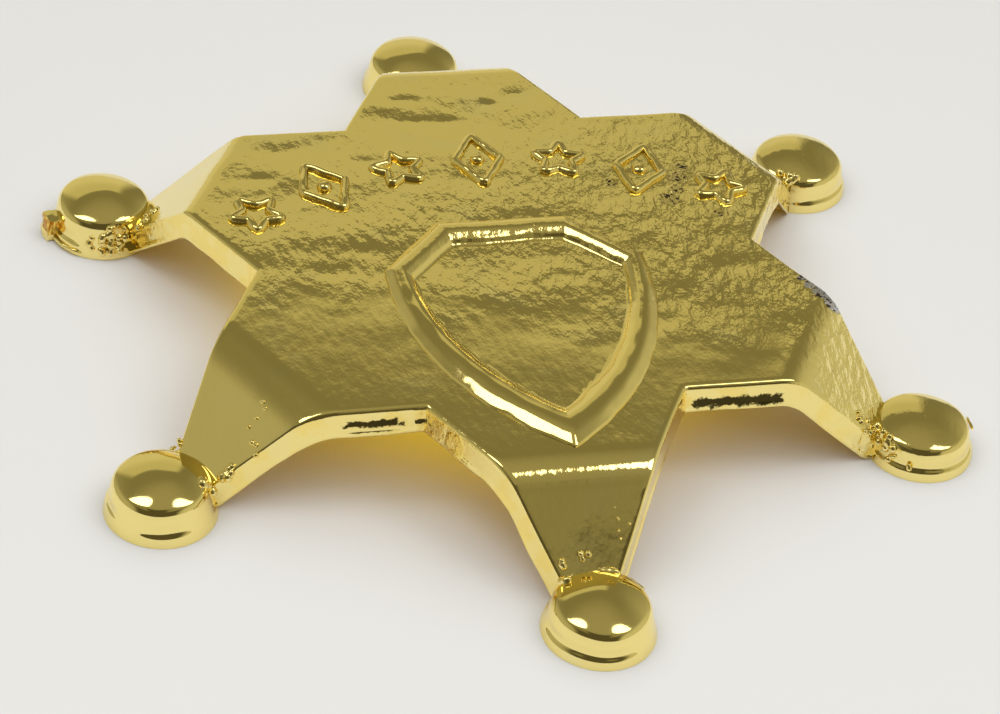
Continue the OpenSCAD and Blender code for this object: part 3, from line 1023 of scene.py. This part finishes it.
def pin_mesh(pin, material):
    """Strip with round ends, two lugs and a pointed wire, as one body with softened edges."""
    low, high = PIN_LOW, PIN_HIGH
    top = mm(high[2])
    width = mm(high[1] - low[1])
    middle = mm(high[1] + low[1]) / 2
    strip = mm(pin.strip)
    wire = top - strip - mm(pin.wire_drop)
    end = -mm(low[0])
    slot = arc((end - width / 2, middle), width / 2, -90, 90, END_STEPS)
    slot += arc((-end + width / 2, middle), width / 2, 90, 270, END_STEPS)
    body = prism(BAR, slot, top - strip, top, material)
    lug, half = mm(pin.lug), mm(pin.lug_width) / 2
    lug_end = end - mm(pin.lug_in)
    along_x = Matrix(((0, 0, 1, 0), (1, 0, 0, 0), (0, 1, 0, 0), (0, 0, 0, 1)))
    section = arc((middle, wire), half, 180, 360, LUG_STEPS)
    section += [(middle + half, top - strip / 2), (middle - half, top - strip / 2)]
    parts = []
    for inner in (-lug_end, lug_end - lug):
        parts.append(prism("lug", section, inner, inner + lug, material))
        parts[-1].data.transform(along_x)
    fuse(body, *parts)
    bevel = body.modifiers.new("soft edges", "BEVEL")
    bevel.width = mm(pin.edge)
    bevel.segments = 2
    bevel.limit_method = "ANGLE"
    bevel.angle_limit = math.radians(40)
    plain_mesh(body)
    radius = mm(pin.wire) / 2
    taper = lug_end + TAPER_START
    sharp = mm(pin.wire_out) - TAPER_START
    stations = [(-lug_end + WIRE_DEPTH, radius), (taper, radius)]
    stations += [(taper + sharp * t, radius * (1 - 0.8 * t**1.5)) for t in (0.3, 0.6, 0.85, 1)]
    rings = [[(x, *p) for p in circle((middle, wire), r, WIRE_SIDES)] for x, r in stations]
    return fuse(body, tube("wire", rings, material))


# Materials

# Corroded, chipped and torn places on the badge, in millimetres: middle, height and radius
STAINS = (
    (15.0, 8.8, 7.9, 0.6), (14.6, 7.6, 7.9, 0.7), (14.0, 6.3, 7.9, 0.6), (13.2, 5.1, 7.9, 0.8),
    (9.3, 7.5, 7.9, 0.5), (16.4, 3.1, 7.8, 0.4),
)
CHIPS = (
    (20.5, -4.8, 7.75, 0.4), (20.9, -5.6, 7.65, 0.6), (21.4, -6.5, 7.45, 0.85), (21.9, -7.4, 7.1, 0.85),
)
TORN = ((-8.6, -16.2, 6.8, 1.5), (-7.4, -18.2, 6.6, 1.0), (9.0, -16.2, 6.7, 0.8))
# Bands of painted shade in the front walls' creases: range along X, height, and half their width
CREASE_SHADE_BANDS = ((-14.7, -10.8, 6.7, 0.26), (-9.8, -9.2, 6.6, 0.22), (9.7, 16.2, 6.35, 0.4))
# Heights in millimetres of the nodules, of the grain on steep sides, of the grain where the casting is
# broken or corroded, of the gate's fibres and of the strip's rolling lines
NODULE_HEIGHT, WALL_GRAIN, BROKEN_GRAIN, FIBRE_HEIGHT, LINE_HEIGHT = 0.035, 0.035, 0.07, 0.12, 0.006


def shader_tree(name):
    material = bpy.data.materials.new(name)
    material.use_nodes = True
    material.node_tree.nodes.clear()
    return material, Nodes(material.node_tree)


def end_shader(nodes, inputs):
    """Ends a material in one Principled shader."""
    shader = nodes.add("ShaderNodeBsdfPrincipled", {}, inputs)
    nodes.add("ShaderNodeOutputMaterial", {}, {"Surface": shader})


def millimetres(nodes):
    """Object coordinates in millimetres."""
    place = nodes.add("ShaderNodeTexCoord", output="Object")
    return nodes.vector("MULTIPLY", place, (1 / MM,) * 3)


def spots(nodes, place, places, ragged):
    """1 within round spots with ragged edges, 0 elsewhere."""
    mask = None
    for x, y, z, radius in places:
        distance = nodes.vector("DISTANCE", place, (x, y, z)) / radius + ragged
        mask = either(nodes, mask, nodes.step(distance, 1.1, 0.75))
    return mask


def either(nodes, mask, other):
    """The greater of two masks, or the second where there is no first."""
    return other if mask is None else nodes.math("MAXIMUM", mask, other)


def crease_shade(nodes, x, y, z, ragged):
    """1 within the bands of painted crease shade on the front walls, 0 elsewhere."""
    mask = None
    for low, high, middle, half in CREASE_SHADE_BANDS:
        band = nodes.step(nodes.math("ABSOLUTE", z - middle + ragged * half * 0.8) / half, 1.2, 0.7)
        ends = nodes.step(x + ragged * 0.5, low - 0.1, low + 0.1)
        ends = ends * nodes.step(x - ragged * 0.5, high + 0.1, high - 0.1)
        mask = either(nodes, mask, band * ends)
    return mask * nodes.step(y, -14.6, -15.0) * nodes.step(y, -17.2, -16.8)


def gold_material(name, finish, grain, tint, walls, gloss):
    """Polished plate over a casting: ripples, nodules, painted shade in the wall creases, stains and a
    chip to the bare metal.

    grain is the height of the ripples in millimetres, tint how much of the deep gold is in the
    plate, walls how rough its steep sides are and how much deep gold is painted on them as the
    saturated colour of light bounced between gold faces, and gloss its least roughness.
    """
    material, nodes = shader_tree(name)
    place = millimetres(nodes)
    x, y, z = nodes.split(place)
    up = nodes.split(nodes.add("ShaderNodeNewGeometry", output="Normal"))[2]
    patchy = nodes.noise(place, 4.0, 1.0)
    front = nodes.step(y + x * 0.3 + patchy * 14, -3.0, 7.0)
    back_left = nodes.step(y - x * 0.35 + patchy * 6, 8.0, 18.0)
    rough = either(nodes, front * (1 - back_left * 0.7), nodes.step(x, 16.5, 21.0) * 2.2)
    steep = nodes.step(up, 0.65, 0.45) * nodes.step(up, -0.3, 0.0) * walls
    steep = steep * (nodes.step(nodes.noise(place, 2.2, 3.0, 0.6), 0.46, 0.58) * 0.8 + 0.2)
    ripples = nodes.noise(nodes.vector("MULTIPLY", place, (1.7, 1.0, 1.0)), 1.15, 3.0, 0.5)
    cells = nodes.add("ShaderNodeTexVoronoi", {}, {
        "Vector": place, "Scale": 1.6, "Randomness": 1.0,
    }, "Distance")
    nodules = nodes.step(cells, 0.2, 0.05) * nodes.step(nodes.noise(place, 2.6, 1.0), 0.62, 0.72) * rough
    torn = spots(nodes, place, TORN, nodes.noise(place, 0.9, 2.0) - 0.5) * nodes.step(z, 7.75, 7.45)
    height = ripples * (rough * 0.88 + 0.12) * grain + nodules * NODULE_HEIGHT
    height = height + nodes.noise(place, 0.45, 2.0) * steep * WALL_GRAIN
    ragged = (nodes.noise(place, 0.35, 2.0) - 0.5) * 1.1
    stain = spots(nodes, place, STAINS, ragged)
    chip = spots(nodes, place, CHIPS, ragged * 0.6)
    # Painted shade: mask of the dark colour painted in the front walls' creases
    crease = crease_shade(nodes, x, y, z, nodes.noise(place, 0.7, 3.0, 0.65) * 4 - 2)
    speck = nodes.step(nodes.noise(place, 0.22, 2.0), 0.52, 0.6)
    height = height + (stain + chip + torn) * nodes.noise(place, 0.4, 3.0, 0.6) * BROKEN_GRAIN
    gold = nodes.blend(nodes.step(patchy, 0.55, 0.75) * 0.5, finish.gold, finish.pale)
    # Deep gold here is partly the tone of nodules, torn places and tinted pieces and partly painted bounce
    # light on steep sides
    gold = nodes.blend(nodes.step(nodules + torn * 0.4 + steep + tint, 0.0, 1.0), gold, finish.deep)
    # Painted bounce light: faces that look down get the saturated gold of light bounced between gold and
    # floor
    gold = nodes.blend(nodes.step(up, -0.4, -0.8), gold, finish.underside_bounce_tint)
    bare = nodes.blend(speck, finish.bare, finish.stain)
    edge = nodes.step(chip, 0.9, 0.4)
    metal = nodes.blend(stain * speck, gold, finish.stain)
    metal = nodes.blend(chip, metal, nodes.blend(edge, bare, finish.stain))
    # Painted shade: the dark crease colour painted over the front walls
    metal = nodes.blend(crease, metal, finish.crease)
    end_shader(nodes, {
        "Base Color": metal, "Metallic": 1.0, "Normal": nodes.bump(height),
        "Roughness": stain * 0.3 + chip * 0.35 + crease * 0.25 + steep * 0.2 + gloss,
    })
    return material


def copper_material(finish):
    """Torn copper-coloured face of the gate."""
    material, nodes = shader_tree("Broken gate")
    place = millimetres(nodes)
    fibres = nodes.noise(nodes.vector("MULTIPLY", place, (3.0, 3.0, 0.7)), 0.5, 3.0)
    tone = nodes.blend(nodes.step(fibres, 0.4, 0.65), finish.copper, finish.deep)
    end_shader(nodes, {
        "Base Color": tone, "Metallic": 1.0, "Roughness": 0.28,
        "Normal": nodes.bump(fibres * FIBRE_HEIGHT),
    })
    return material


def nickel_material(finish):
    """Nickel plate with faint rolling lines along the strip."""
    material, nodes = shader_tree("Nickel plate")
    place = millimetres(nodes)
    lines = nodes.noise(nodes.vector("MULTIPLY", place, (0.08, 2.0, 2.0)), 0.3, 3.0)
    smudge = nodes.noise(place, 4.0, 2.0)
    tone = nodes.blend(nodes.step(smudge, 0.4, 0.7) * 0.4, finish.nickel, finish.dull)
    end_shader(nodes, {
        "Base Color": tone, "Metallic": 1.0, "Roughness": 0.2 + smudge * 0.2,
        "Normal": nodes.bump(lines * LINE_HEIGHT, 0.6),
    })
    return material


def floor_material(stage):
    """Plain pale table top, with painted shade that darkens it a little away from the camera, where less
    light falls.
    """
    material, nodes = shader_tree("Table top")
    place = nodes.add("ShaderNodeTexCoord", output="Object")
    away = nodes.split(place)[1]
    # Painted shade: the table top darkens away from the camera as the light falls off
    far = [channel * PAINTED_FALLOFF_SHARE for channel in stage.floor]
    tone = nodes.blend(nodes.step(away, NEAR_EDGE, FAR_EDGE), stage.floor, far)
    end_shader(nodes, {"Base Color": tone, "Roughness": 0.6, "Specular IOR Level": 0.2})
    return material


# Stage

def camera_axes(stage):
    """Right, up and back of the camera before its roll."""
    level = math.cos(stage.elevation)
    back = Vector((
        math.sin(stage.azimuth) * level, -math.cos(stage.azimuth) * level, math.sin(stage.elevation),
    ))
    right = (-back).cross(Vector((0, 0, 1))).normalized()
    return right, back.cross(right), back


def add_camera(stage):
    right, up, back = camera_axes(stage)
    target = Vector(stage.target)
    turned = Matrix.Rotation(stage.roll, 3, back) @ Matrix((right, up, back)).transposed()
    camera = linked("camera", bpy.data.cameras.new("camera"))
    camera.matrix_world = Matrix.Translation(target + back * stage.distance) @ turned.to_4x4()
    camera.data.lens = stage.lens
    camera.data.sensor_width = 36
    camera.data.clip_start, camera.data.clip_end = 0.01, 100
    bpy.context.scene.camera = camera


# Soft lights: name, degrees from the zenith to the camera's right and away from the camera, and the
# width and depth that they take up of the sky in degrees
SOFT_LIGHTS = (("soft_light_left", -25.8, 0, 29, 19), ("soft_light_right", 28.7, 1, 30, 21))
# Degrees of sky that the fill light takes up, and where the bounce stands over the floor
FILL_WIDTH = 110
BOUNCE_PLACE = (-1 * MM, 3 * MM)
# The share of its brightness that the painted shade leaves the table top far from the camera, where that
# painted shade starts and ends, and how far below the badge the table top lies
PAINTED_FALLOFF_SHARE = 0.93
NEAR_EDGE, FAR_EDGE = -60 * MM, 80 * MM
FLOOR_GAP = 0.01 * MM


def add_light(name, size, radiance, rgb, place):
    """An elliptical area light that faces the way its matrix turns it."""
    light = bpy.data.lights.new(name, "AREA")
    light.shape = "ELLIPSE"
    light.size, light.size_y = size
    light.color = rgb
    light.energy = radiance * math.pi * light.size * light.size_y * math.pi / 4
    obj = linked(name, light)
    obj.matrix_world = place
    return obj


def add_lights(stage):
    """Two soft lights that show in the metal, and a fill and a bounce that only the floor shows."""
    right, _, back = camera_axes(stage)
    ahead = Vector((-back.x, -back.y, 0)).normalized()
    for name, sideways, beyond, *spread in SOFT_LIGHTS:
        direction = right * math.tan(math.radians(sideways)) + ahead * math.tan(math.radians(beyond))
        direction = (direction + Vector((0, 0, 1))).normalized()
        size = [2 * stage.light_distance * math.tan(math.radians(width / 2)) for width in spread]
        across = (right - direction * right.dot(direction)).normalized()
        turned = Matrix((across, direction.cross(across), direction)).transposed().to_4x4()
        place = Matrix.Translation(direction * stage.light_distance) @ turned
        add_light(name, size, stage.light_radiance, (1, 1, 1), place)
    wide = 2 * stage.light_distance * math.tan(math.radians(FILL_WIDTH / 2))
    place = Matrix.Translation((0, 0, stage.light_distance))
    fill = add_light("soft_fill", (wide, wide), stage.fill_radiance, (1, 1, 1), place)
    place = Matrix.Translation((*BOUNCE_PLACE, stage.bounce_height))
    size = stage.bounce_size, stage.bounce_size
    bounce = add_light("gold_bounce", size, stage.bounce_radiance, stage.bounce, place)
    for obj in (fill, bounce):
        obj.visible_camera = False
        obj.visible_glossy = False


def add_surroundings(stage):
    """Dim room with lighter sides, a light panel ahead and dark things behind the camera."""
    world = bpy.data.worlds.new("surroundings")
    world.use_nodes = True
    world.node_tree.nodes.clear()
    nodes = Nodes(world.node_tree)
    direction = nodes.add("ShaderNodeTexCoord", output="Generated")
    right, _, back = camera_axes(stage)
    side = nodes.vector("DOT_PRODUCT", direction, tuple(right))
    ahead = nodes.vector("DOT_PRODUCT", direction, tuple(Vector((-back.x, -back.y, 0)).normalized()))
    height = nodes.split(direction)[2]
    turn = nodes.math("ARCTAN2", side, ahead)
    aside = nodes.math("ABSOLUTE", side)
    soft = math.radians(4)

    def below(top):
        return nodes.step(height, math.sin(top + soft * 0.4), math.sin(top - soft * 0.4))

    lighter = nodes.step(side, 0.2, 0.95) + nodes.step(side, -0.45, -0.95) * 0.6
    lighter = lighter * (1 - nodes.step(height, 0.45, 0.75) * 0.6)
    sky = nodes.blend(lighter, stage.dim, stage.sides)
    sky = nodes.blend(nodes.step(height, 0.75, 1.0), sky, stage.ceiling)
    panel = nodes.step(turn, stage.panel_left - soft, stage.panel_left + soft)
    panel = panel * nodes.step(turn, stage.panel_right + soft, stage.panel_right - soft)
    panel = panel * below(stage.panel_top)
    light = nodes.blend(nodes.step(height, 0.2, 0.5), stage.panel_low, stage.panel_high)
    sky = nodes.blend(panel, sky, light)
    column = nodes.step(aside, math.sin(stage.dark_half + soft), math.sin(stage.dark_half - soft))
    foot = nodes.step(aside, 0.8, 0.6) * below(stage.dark_low_top)
    dark = either(nodes, column * below(stage.dark_top), foot)
    sky = nodes.blend(dark * nodes.step(ahead, 0.0, -0.1), sky, stage.dark)
    background = nodes.add("ShaderNodeBackground", {}, {"Color": sky})
    nodes.add("ShaderNodeOutputWorld", {}, {"Surface": background})
    bpy.context.scene.world = world


# Operators

# Finishes of the casting: height of the ripples, share of deep gold, how rough steep sides are and how
# much painted bounce colour they get, and the setting that gives the gloss
GOLD_FINISHES = {
    "Gold plate": (0.085, 0.0, 0.45, "gloss"),
    "Raised gold": (0.05, 0.1, 1.0, "raised_gloss"),
    "Gold droplets": (0.02, 0.12, 0.0, "droplet_gloss"),
    "Tip gold": (0.012, 0.0, 0.05, "tip_gloss"),
}


def material_named(name):
    return bpy.data.materials[name]


class BADGE_OT_finishes(bpy.types.Operator):
    """Makes the metal finishes of the badge"""

    bl_idname = "badge.finishes"
    bl_label = "Finishes"

    def execute(self, context):
        finish = context.scene.badge_finish
        for name, (grain, tint, walls, gloss) in GOLD_FINISHES.items():
            gold_material(name, finish, grain, tint, walls, getattr(finish, gloss))
        copper_material(finish)
        nickel_material(finish)
        return {"FINISHED"}


class BADGE_OT_plate(bpy.types.Operator):
    """Makes the folded star plate"""

    bl_idname = "badge.plate"
    bl_label = "Star plate"

    def execute(self, context):
        plate_mesh(context.scene.badge_plate, material_named("Gold plate"))
        return {"FINISHED"}


class BADGE_OT_tips(bpy.types.Operator):
    """Makes the six ball tips, the torn gate and the droplets, and fuses them to the plate"""

    bl_idname = "badge.tips"
    bl_label = "Ball tips"

    def execute(self, context):
        tips = context.scene.badge_tips
        gold = material_named("Tip gold")
        balls = grow(tip_mesh(tips, gold), tips_tree(), {
            "Count": len(POINTS), "Ring radius": mm(tips.ring_radius), "Material": gold,
        })
        wear_tips(balls, tips)
        gate = gate_mesh(tips, gold, material_named("Broken gate"))
        rough = material_named("Gold droplets")
        beads = [bead_mesh(tips, row, rough) for row in BEADS]
        drops = droplet_mesh(tips, context.scene.badge_plate, rough)
        fuse(bpy.data.objects[STAR], balls, gate, *beads, drops)
        return {"FINISHED"}


class BADGE_OT_relief(bpy.types.Operator):
    """Makes the shield rim and the ornaments, and fuses them to the plate"""

    bl_idname = "badge.relief"
    bl_label = "Relief"

    def execute(self, context):
        relief = context.scene.badge_relief
        face = mm(context.scene.badge_plate.face_height)
        raised = material_named("Raised gold")
        fuse(bpy.data.objects[STAR], rim_mesh(relief, face, raised), ornament_mesh(relief, face, raised))
        return {"FINISHED"}


class BADGE_OT_casting(bpy.types.Operator):
    """Finishes the fused casting and sets it in the frame"""

    bl_idname = "badge.casting"
    bl_label = "Casting"

    def execute(self, context):
        finish_piece(bpy.data.objects[STAR], CASTING, STAR_CREASE)
        return {"FINISHED"}


class BADGE_OT_pin(bpy.types.Operator):
    """Makes the bar pin and sets it in the frame"""

    bl_idname = "badge.pin"
    bl_label = "Bar pin"

    def execute(self, context):
        bar = pin_mesh(context.scene.badge_pin, material_named("Nickel plate"))
        finish_piece(bar, PIN, PIN_CREASE)
        return {"FINISHED"}


class BADGE_OT_stage(bpy.types.Operator):
    """Adds the camera, the soft lights, the surroundings and the floor"""

    bl_idname = "badge.stage"
    bl_label = "Stage"

    def execute(self, context):
        stage = context.scene.badge_stage
        add_camera(stage)
        add_lights(stage)
        add_surroundings(stage)
        half = stage.floor_size / 2
        corners = [(sx * half, sy * half, -FLOOR_GAP) for sx, sy in ((-1, -1), (1, -1), (1, 1), (-1, 1))]
        floor = new_object("floor", corners, [(0, 1, 2, 3)], floor_material(stage))
        context.scene.view_settings.view_transform = "Standard"
        return {"FINISHED"}


class BADGE_PT_panel(bpy.types.Panel):
    """Lists the badge's settings and pieces"""

    bl_label = "Star Badge"
    bl_idname = "BADGE_PT_panel"
    bl_space_type = "VIEW_3D"
    bl_region_type = "UI"
    bl_category = "Badge"

    def draw(self, context):
        for name, group in SETTINGS.items():
            box = self.layout.box()
            box.label(text=group.__name__.replace("Settings", ""))
            for setting in group.__annotations__:
                box.prop(getattr(context.scene, name), setting)
        for operator in OPERATORS:
            self.layout.operator(operator.bl_idname)


OPERATORS = (
    BADGE_OT_finishes, BADGE_OT_plate, BADGE_OT_tips, BADGE_OT_relief, BADGE_OT_casting, BADGE_OT_pin,
    BADGE_OT_stage,
)


def register():
    for name, group in SETTINGS.items():
        bpy.utils.register_class(group)
        setattr(bpy.types.Scene, name, PointerProperty(type=group))
    for cls in (*OPERATORS, BADGE_PT_panel):
        bpy.utils.register_class(cls)


def unregister():
    for cls in (BADGE_PT_panel, *reversed(OPERATORS)):
        bpy.utils.unregister_class(cls)
    for name, group in SETTINGS.items():
        delattr(bpy.types.Scene, name)
        bpy.utils.unregister_class(group)


def main():
    register()
    for operator in OPERATORS:
        group, name = operator.bl_idname.split(".")
        getattr(getattr(bpy.ops, group), name)()


if __name__ == "__main__":
    main()
